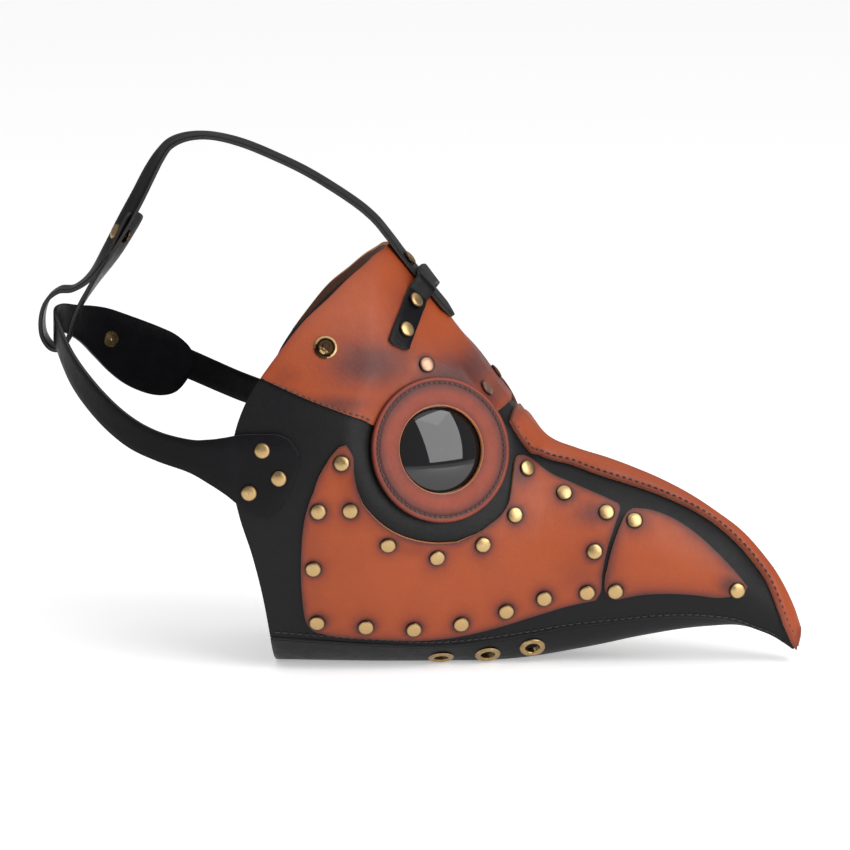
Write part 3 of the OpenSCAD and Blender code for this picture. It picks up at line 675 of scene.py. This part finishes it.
def build_binding():
    edge = right(BINDING_EDGE)
    grid = patch_grid(edge, edge * [1, -1] + [0, 180], 170, 30)

    def padded(inward, x):
        """A sewn channel near the edge and a puffy roll inside it, both running out at the tip."""
        swell = 1.1 * soften((inward - 2.6) / 5) - 0.9 * np.exp(-(((inward - 2.6) / 0.8) ** 2))
        return swell * soften((204 - x) / 16)

    panel("ridge_binding", grid, TAN_LAYER, [BINDING, DARK_EDGE, FLESH], "mask",
          edge_dark=0.75, edge_reach=2.5, relief=padded)


build_cheeks()
build_beak_panels()
build_forehead()
build_binding()

# ---- Seams ------------------------------------------------------------------------------------


def build_seams():
    rear, front = forehead_curves()
    u = np.linspace(0, 1, 500)
    low = curve(over_ridge(front), u) * 0.955 + curve(over_ridge(rear), u) * 0.045
    sewn = (low[:, 1] < 90) & (low[:, 0] < -22) & (low[:, 0] > -74)
    stitch_skin("forehead_stitches", low[sewn], TAN_LAYER[1], BROWN_THREAD, spacing=3.5, length=2.6,
                radius=0.5)

    edge = right(BINDING_EDGE)
    fine = curve(edge, np.linspace(0.015, 0.93, 500))
    spots = skin(fine[:, 0], fine[:, 1])
    normals = skin_normal(fine[:, 0], fine[:, 1])
    inward = np.cross(normals, np.gradient(spots, axis=0))
    inward /= np.linalg.norm(inward, axis=1, keepdims=True)
    moved = spots + inward * 2.6
    path = np.stack([moved[:, 0], angle_of(moved[:, 0], moved[:, 2])], 1)
    stitch_skin("binding_stitches", path, TAN_LAYER[1] - 0.7, BLACK_THREAD, spacing=3.6, length=2.7,
                radius=0.48)

    x = np.linspace(-74, 194, 500)
    seam = np.stack([x, np.full_like(x, LOW_ANGLE + 2.2)], 1)
    stitch_skin("bottom_stitches", seam, 0, BLACK_THREAD, spacing=4.0, length=3.0, radius=0.42)


build_seams()


def build_welt():
    """The rolled black edge along the bottom seam, on both sides."""
    for side, s in SIDES.items():
        data = bpy.data.curves.new("bottom_welt_" + side, "CURVE")
        data.dimensions = "3D"
        data.bevel_depth = 0.95 * MM
        data.bevel_resolution = 3
        spline = data.splines.new("POLY")
        xs = np.linspace(-75.5, 198, 160)
        line = skin(xs, np.full_like(xs, LOW_ANGLE)) + skin_normal(xs, np.full_like(xs, LOW_ANGLE)) * -0.35
        line[:, 2] -= 0.2
        line[:, 1] *= -s
        spline.points.add(len(xs) - 1)
        for p, q in zip(spline.points, line * MM):
            p.co = (*q, 1)
        obj = bpy.data.objects.new("bottom_welt_" + side, data)
        bpy.context.scene.collection.objects.link(obj)
        data.materials.append(BLACK)
        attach(obj, "mask")


build_welt()

# ---- Straps -----------------------------------------------------------------------------------


def strap(name, centre, half, face, thick, materials, groove=0.16):
    """A strap of two layers glued together. centre, half width and face direction at each station."""
    right_side = [(1, 0), (1, 0.12), (1, 0.7), (0.985, 0.93), (0.955, 1), (0.5, 1)]
    upper = right_side[1:] + [(0, 1)] + [(-s, t) for s, t in right_side[:0:-1]]
    profile = [(s, -t) for s, t in upper[::-1]] + [(1, 0)] + upper + [(-1, 0)]
    m = len(profile)
    width = np.linalg.norm(half, axis=1)
    across = half / width[:, None]
    points = []
    for c, b, w, f in zip(centre, across, width, face):
        for s, t in profile:
            slack = groove if t == 0 else 0.0
            side = s * w if abs(s) < 0.9 else math.copysign(w - (1 - abs(s)) * 7.5 - slack, s)
            points.append(c + b * side + f * t * thick / 2)
    faces, kind = [], []
    rows = len(centre)
    for i in range(rows - 1):
        for k in range(m):
            p, q = i * m + k, i * m + (k + 1) % m
            faces.append([p, p + m, q + m, q])
            kind.append(1 if abs(profile[k][0]) == 1 and abs(profile[(k + 1) % m][0]) == 1 else 0)
    faces.append(list(range(m)))
    faces.append([(rows - 1) * m + k for k in range(m)][::-1])
    kind += [1, 1]
    obj = mesh_object(name, points, faces, materials, kind, np.zeros(len(points)))
    obj.data.shade_smooth()
    return obj


def ends(count, length, spacing, tip):
    """Width share near an end that narrows over a length: pointed for tip 1, round for tip 2."""
    d = np.clip(np.arange(count) * spacing / length, 0, 1)
    return (1 - (1 - d) ** tip) ** (1 / tip)


def level_strap(line, count):
    """Stations of a strap that stands on edge, from [x, y, z, half height] points."""
    p = curve(line, np.linspace(0, 1, count))
    run = np.gradient(p[:, :2], axis=0)
    run /= np.linalg.norm(run, axis=1, keepdims=True)
    half = np.zeros((count, 3))
    half[:, 2] = p[:, 3]
    return p[:, :3], half, np.stack([run[:, 1], -run[:, 0], np.zeros(count)], 1)


TOP_LINE = [[17, 186.7, 0], [9.95, 195.35, 0], [1.75, 205.15, 0], [-6.55, 215.15, 0], [-11.9, 222, 0],
            [-18.4, 230.6, 0], [-26.7, 240.3, 0], [-39, 250, 0], [-61, 263.5, 0], [-80, 272.5, 0],
            [-98, 279.5, 0], [-114, 283, 0], [-127, 282.5, 4], [-137, 278.5, 12], [-143, 271.5, 20],
            [-148.5, 262, 26],
            [-155, 249, 28], [-163, 234, 28], [-172, 218, 20], [-181, 204.5, 8], [-190, 197.6, 0],
            [-198, 196.4, 0], [-204.5, 191, 0], [-207.5, 182, 0], [-207, 172, 0], [-202.5, 165.2, 0],
            [-196.5, 164.8, 0], [-192.8, 170.5, 0], [-190.5, 179, 0], [-186.5, 188.5, 2], [-179, 200.7, 8],
            [-168.8, 216.2, 20], [-159.9, 232.2, 28], [-155.7, 240.1, 28]]


def plate_y(x, z):
    spot = skin(x, angle_of(x, z))
    return -float(spot[1]) + 0.2 + STRAP_LEATHER / 2


HEAD_LINE = [[x, -plate_y(x, z), z, h] for x, z, h in
             [(-58, 120, 3), (-60, 119, 8), (-64, 116, 15.5), (-70, 112.5, 21.5), (-76, 111, 23),
              (-82, 112, 22), (-90, 114, 19.5)]]
HEAD_LINE += [[-98, -78.6, 116.5, 15.5], [-107, -77.6, 118.5, 12], [-118, -75.5, 121, 9],
              [-136, -70, 125, 8.2], [-153, -61.5, 131.5, 8.8], [-170, -49.5, 143, 9.2], [-186, -33, 158, 9],
              [-196.5, -16, 173.2, 7.9], [-200.3, 0, 178, 7.8], [-198, 15, 178, 8], [-191, 27.5, 173, 10],
              [-184, 36.5, 167, 14], [-177, 43.5, 161, 17.5], [-169, 50, 155, 19.5], [-160, 56, 150, 20],
              [-151, 60.8, 146.5, 19], [-143, 64.3, 145, 16], [-137, 66.6, 145.5, 10], [-134, 67.6, 147, 4]]
RIDGE_NORMAL = np.array([0.76, 0, 0.65])
CLOSURE_LINE = [[x, plate_y(x, z), z, h] for x, z, h in
                [(-70, 119, 4), (-72, 119.5, 6.8), (-76, 120.3, 8), (-84, 122.3, 8), (-92, 124.4, 8)]]
CLOSURE_LINE += [[-98.2, 79.55, 126.1, 8], [-110, 78.6, 130.5, 8.2], [-122, 76.2, 136, 8.4],
                 [-134, 72.4, 142, 8.5], [-146, 67.4, 148, 8.5], [-158, 61.6, 153.5, 8.5],
                 [-168, 55.6, 158, 8.4], [-177, 48.8, 162, 8], [-182, 44.4, 164, 6.5], [-184.5, 42, 165, 3.5]]


def build_top_strap():
    count = 420
    p = curve(TOP_LINE, np.linspace(0, 1, count))
    run = np.gradient(p[:, :2], axis=0)
    run /= np.linalg.norm(run, axis=1, keepdims=True)
    face = np.stack([run[:, 1], np.zeros(count), -run[:, 0]], 1)
    side = np.array([0.0, 1.0, 0.0])
    twist = np.radians(p[:, 2])[:, None]
    step = np.linalg.norm(np.diff(p[:, :2], axis=0), axis=1).mean()
    share = np.minimum(0.12 + 0.88 * ends(count, 9, step, 1), (0.1 + 0.9 * ends(count, 7, step, 2))[::-1])
    half = (side * np.cos(twist) + face * np.sin(twist)) * 7.5 * share[:, None]
    centre = np.stack([p[:, 0], np.zeros(count), p[:, 1]], 1)
    obj = strap("top_strap_leather", centre, half, face * np.cos(twist) - side * np.sin(twist), STRAP_LEATHER,
                [STRAP, BLACK_EDGE])
    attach(obj, "top_strap")
    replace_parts(obj, "top_strap")


def build_head_strap():
    centre, half, face = level_strap(HEAD_LINE, 420)
    obj = strap("head_strap_leather", centre, half, face, STRAP_LEATHER, [STRAP, BLACK_EDGE])
    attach(obj, "mask")
    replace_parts(obj, "head_strap")


def build_closure():
    centre, half, face = level_strap(CLOSURE_LINE, 200)
    obj = strap("closure_leather", centre, half, face, STRAP_LEATHER, [STRAP, BLACK_EDGE])
    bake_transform(obj)
    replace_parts(obj, "closure_anchor", "closure_strap")


def bridge_at(p):
    """How much of the keeper tab is lifted across the strap, from 0 to 1."""
    return soften((16 - np.abs(skin(p[:, 0], p[:, 1])[:, 1])) / 5)[:, None]


def keeper_spot(p):
    """The tab lies on the forehead at its ends, and bridges flat across the strap in the middle."""
    c, ridge = skin(p[:, 0], p[:, 1]), skin(p[:, 0], np.full(len(p), 90.0))
    drop = ((ridge - c) @ RIDGE_NORMAL)[:, None]
    low = c + skin_normal(p[:, 0], p[:, 1]) * (TAN_LAYER[1] + STRAP_LEATHER / 2)
    return low + RIDGE_NORMAL * (STRAP_LEATHER + 1.0 + drop) * bridge_at(p)


def build_keeper():
    half = [[-9.6, 176, 3], [-8.8, 179.8, 6.2], [-7.4, 184.4, 6.5], [-5.6, 190, 6.5], [-4.2, 195, 6.5],
            [-3.2, 198.8, 6.5]]
    line = [[x, float(angle_of(x, z)), w] for x, z, w in half]
    line = line + [[-2.4, 90, 6.5]] + [[x, 180 - a, w] for x, a, w in line[::-1]]
    count = 180
    p = curve(line, np.linspace(0, 1, count))
    spot = keeper_spot(p)
    run = np.gradient(spot, axis=0)
    run /= np.linalg.norm(run, axis=1, keepdims=True)
    bridge = bridge_at(p)
    face = skin_normal(p[:, 0], p[:, 1]) * (1 - bridge) + RIDGE_NORMAL * bridge
    face -= run * np.sum(face * run, axis=1)[:, None]
    face /= np.linalg.norm(face, axis=1, keepdims=True)
    step = np.linalg.norm(np.diff(spot, axis=0), axis=1).mean()
    share = np.minimum(1, 0.5 + np.arange(count) * step / 8)
    width = 6.5 * np.minimum(share, share[::-1])
    obj = strap("strap_keeper_leather", spot, np.cross(run, face) * width[:, None], face, STRAP_LEATHER,
                [STRAP, BLACK_EDGE])
    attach(obj, "mask")
    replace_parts(obj, "strap_keeper")


build_top_strap()
build_head_strap()
build_closure()
build_keeper()

# ---- Eyes and metal ---------------------------------------------------------------------------


def dress(name, material, dark=None):
    """Gives a CAD node its finish. dark is a function from vertices in millimetres to darkness: tarnish, and
    on rivet rims painted shade too.
    """
    obj = nodes[name]
    obj.data.materials.clear()
    obj.data.materials.append(material)
    co = np.array([v.co for v in obj.data.vertices]) / MM
    set_burnish_and_shade(obj.data, dark(co) if dark else np.zeros(len(co)))
    obj.data.shade_smooth()
    smooth = obj.modifiers.new("smooth", "WEIGHTED_NORMAL")
    smooth.keep_sharp = True
    return obj


def lathe(name, at, profile, materials, kinds, dark, around=160):
    """A ring turned around +Z of a placement. profile: [radius, height]; kinds: material of each side."""
    m = len(profile)
    points, faces, kind, burnish_and_shade = [], [], [], []
    for i in range(around):
        a = 2 * math.pi * i / around
        for k, (r, h) in enumerate(profile):
            points.append(np.array(at @ (Vector((r * math.cos(a), r * math.sin(a), h)) * MM)) / MM)
            burnish_and_shade.append(dark[k])
        for k in range(m):
            p, q = i * m + k, i * m + (k + 1) % m
            n = (i + 1) % around * m - i * m
            faces.append([p, p + n, q + n, q])
            kind.append(kinds[k])
    obj = mesh_object(name, points, faces, materials, kind, burnish_and_shade)
    obj.data.shade_smooth()
    return obj


# The stitched eye ring: radius, height above the body, darkness (deepest in the stitch channel, the notch of
# the outer wall and the foot) and material of the face that follows.
RING = [[23.7, 2.5, 0.3, 1], [23.7, 3.6, 0.1, 1], [23.75, 4.6, 0.0, 1], [24.0, 5.2, 0.1, 1],
        [24.3, 5.42, 0.35, 0], [25.0, 5.5, 0.30, 0], [27.5, 5.5, 0.08, 0], [31, 5.5, 0.12, 0],
        [34.0, 5.48, 0.45, 0],
        [35.3, 5.32, 0.8, 0], [36.0, 5.0, 1.0, 0], [36.7, 4.96, 1.0, 0], [37.3, 5.2, 0.55, 0],
        [38.0, 5.3, 0.15, 0], [38.8, 5.15, 0.2, 0], [39.3, 4.75, 0.5, 0], [39.5, 4.2, 0.7, 0],
        [39.4, 3.95, 1.0, 0], [39.5, 3.7, 0.6, 0], [39.5, 2.9, 0.7, 0], [39.3, 2.5, 1.0, 0]]


def build_eye_ring(side):
    at = eye_matrix(side)
    obj = lathe("eye_ring_%s_leather" % side, at, [r[:2] for r in RING], [BURNISHED, TAN_EDGE],
                [r[3] for r in RING], [r[2] for r in RING])
    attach(obj, "mask")
    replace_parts(obj, "eye_ring_" + side)
    turn = at.to_3x3()
    spots, runs, ups = [], [], []
    count, channel, height = 76, 36.35, 5.05
    for k in range(count):
        a = 2 * math.pi * k / count
        spot = Vector((math.cos(a) * channel, math.sin(a) * channel, height)) * MM
        spots.append(np.array(at @ spot) / MM)
        runs.append(np.array(turn @ Vector((-math.sin(a), math.cos(a), 0))))
        ups.append(np.array(turn @ Vector((0, 0, 1))))
    capsule_rows("eye_ring_stitches_" + side, spots, runs, ups, 2.2, 0.42, BROWN_THREAD, "mask")


def fastener_radius(name):
    """For a node of round fasteners: a function from vertices to their distance from their own axis."""
    spots = centres(name)
    tree = KDTree(len(spots))
    for i, p in enumerate(spots):
        tree.insert(Vector(p), i)
    tree.balance()

    def read(co):
        owner = np.array([tree.find(Vector(p))[1] for p in co])
        radius = np.zeros(len(co))
        for i, spot in enumerate(spots):
            own = co[owner == i] - spot
            values, vectors = np.linalg.eigh(own.T @ own)
            axis = vectors[:, 0] if values[1] - values[0] > values[2] - values[1] else vectors[:, 2]
            flat = own - np.outer(own @ axis, axis)
            radius[owner == i] = np.linalg.norm(flat, axis=1)
        return radius

    return read


def rivet_tarnish_and_shade(name):
    """Clean on the crown of the cap and darker towards its rim: tarnish, and painted shade of the cap's steep
    sides.
    """
    radius = fastener_radius(name)
    return lambda co: np.clip((radius(co) - 3.3) / 1.0, 0, 1)


def snap_dark(name):
    """Tarnished in the dish around the stud."""
    radius = fastener_radius(name)
    return lambda co: np.where(np.abs(radius(co) - 3.4) < 1.4, 1.0, 0.1)


for side in SIDES:
    build_eye_ring(side)
    dress("eye_spacer_" + side, BLACK)
    dress("lens_" + side, LENS)
    dress("cheek_rivets_" + side, BRASS, rivet_tarnish_and_shade("cheek_rivets_" + side))
    dress("beak_rivets_" + side, BRASS, rivet_tarnish_and_shade("beak_rivets_" + side))
for name in ("keeper_rivets", "top_strap_rivet", "loop_rivet", "head_strap_rivets", "closure_rivets"):
    dress(name, BRASS, rivet_tarnish_and_shade(name))
for name in ("chin_eyelets", "closure_stud", "closure_socket"):
    dress(name, BRASS, lambda co: np.full(len(co), 0.3))
dress("forehead_snap_studs", BRASS, snap_dark("forehead_snap_studs"))
dress("forehead_rivets", COPPER, rivet_tarnish_and_shade("forehead_rivets"))

# ---- Stage, light and camera ------------------------------------------------------------------


def build_stage():
    bpy.ops.mesh.primitive_plane_add(size=14, location=(0, 1, 0))
    floor = bpy.context.object
    floor.name = "floor"
    m, _, shader = new_material("pale_floor")
    shader.inputs["Base Color"].default_value = (0.9, 0.9, 0.9, 1)
    shader.inputs["Emission Color"].default_value = (1, 1, 1, 1)
    shader.inputs["Emission Strength"].default_value = 0.38
    shader.inputs["Roughness"].default_value = 0.9
    shader.inputs["Specular IOR Level"].default_value = 0.1
    floor.data.materials.append(m)
    world = bpy.data.worlds.new("studio")
    world.use_nodes = True
    world.node_tree.nodes["Background"].inputs["Color"].default_value = (1, 1, 1, 1)
    world.node_tree.nodes["Background"].inputs["Strength"].default_value = 0.28
    bpy.context.scene.world = world
    bpy.context.scene.view_settings.view_transform = "Standard"


def softbox(name, spot, aim, size, power, spread=180):
    data = bpy.data.lights.new(name, "AREA")
    data.shape = "RECTANGLE"
    data.size, data.size_y = size
    data.energy = power
    data.spread = math.radians(spread)
    obj = bpy.data.objects.new(name, data)
    bpy.context.scene.collection.objects.link(obj)
    obj.location = spot
    obj.rotation_euler = (Vector(aim) - Vector(spot)).to_track_quat("-Z", "Y").to_euler()


def build_camera():
    data = bpy.data.cameras.new("camera")
    data.sensor_width = 36
    distance, turn, lift, across = 10.0, math.radians(6.5), math.radians(11), 0.461
    data.lens = 36 * distance / across
    aim = Vector((0.0016, 0, 0.126))
    back = Vector((math.sin(turn) * math.cos(lift), -math.cos(turn) * math.cos(lift), math.sin(lift)))
    obj = bpy.data.objects.new("camera", data)
    bpy.context.scene.collection.objects.link(obj)
    obj.location = aim + back * distance
    obj.rotation_euler = (-back).to_track_quat("-Z", "Y").to_euler()
    bpy.context.scene.camera = obj


build_stage()
softbox("key", (0.87, -0.74, 0.74), (0.01, -0.05, 0.12), (1.05, 1.3), 15)
softbox("ceiling", (0, 0.5, 3.5), (0, 0.5, 0), (6, 6), 88)
build_camera()
